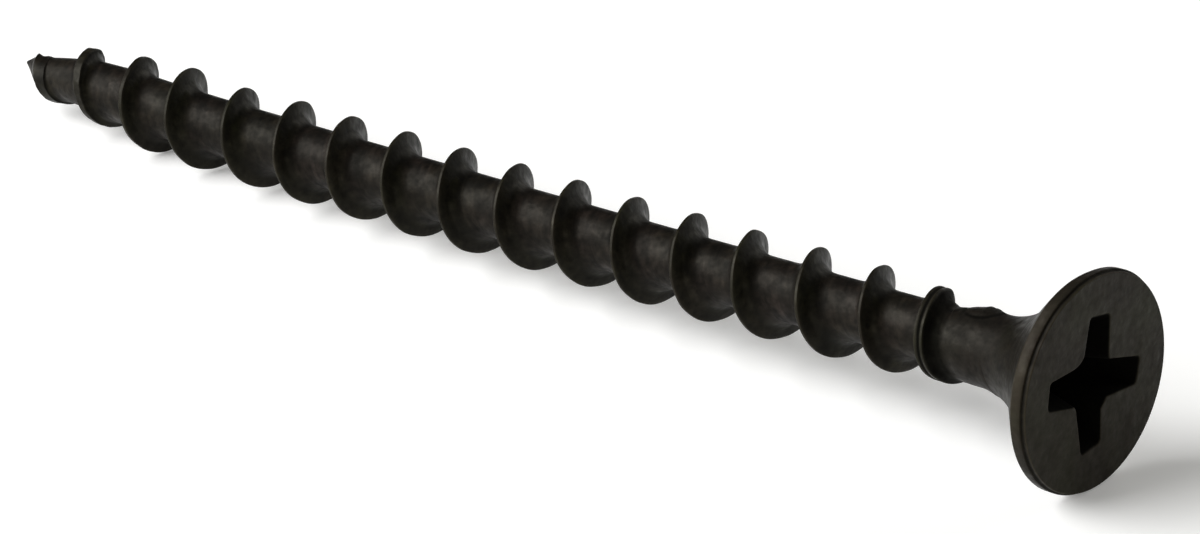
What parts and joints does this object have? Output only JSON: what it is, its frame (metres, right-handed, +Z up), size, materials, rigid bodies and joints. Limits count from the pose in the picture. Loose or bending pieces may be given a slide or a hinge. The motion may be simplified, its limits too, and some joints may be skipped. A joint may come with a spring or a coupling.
{
  "type": "drywall screw",
  "caption": "Drywall screw with a bugle head, cross recess, coarse right-hand thread and sharp point, for fixing plasterboard to timber studs.",
  "frame": {"origin": "middle of the footprint of the screw as it lies at rest, on the floor", "axes": "+X along the screw from its point towards its head, +Z up; the screw's own axis rises by about 3 degrees towards the head"},
  "size_m": [0.0518, 0.008, 0.0081],
  "materials": {
    "black_phosphate": "satin"
  },
  "bodies": {
    "root": {"drywall_screw": "black_phosphate"}
  },
  "joints": []
}
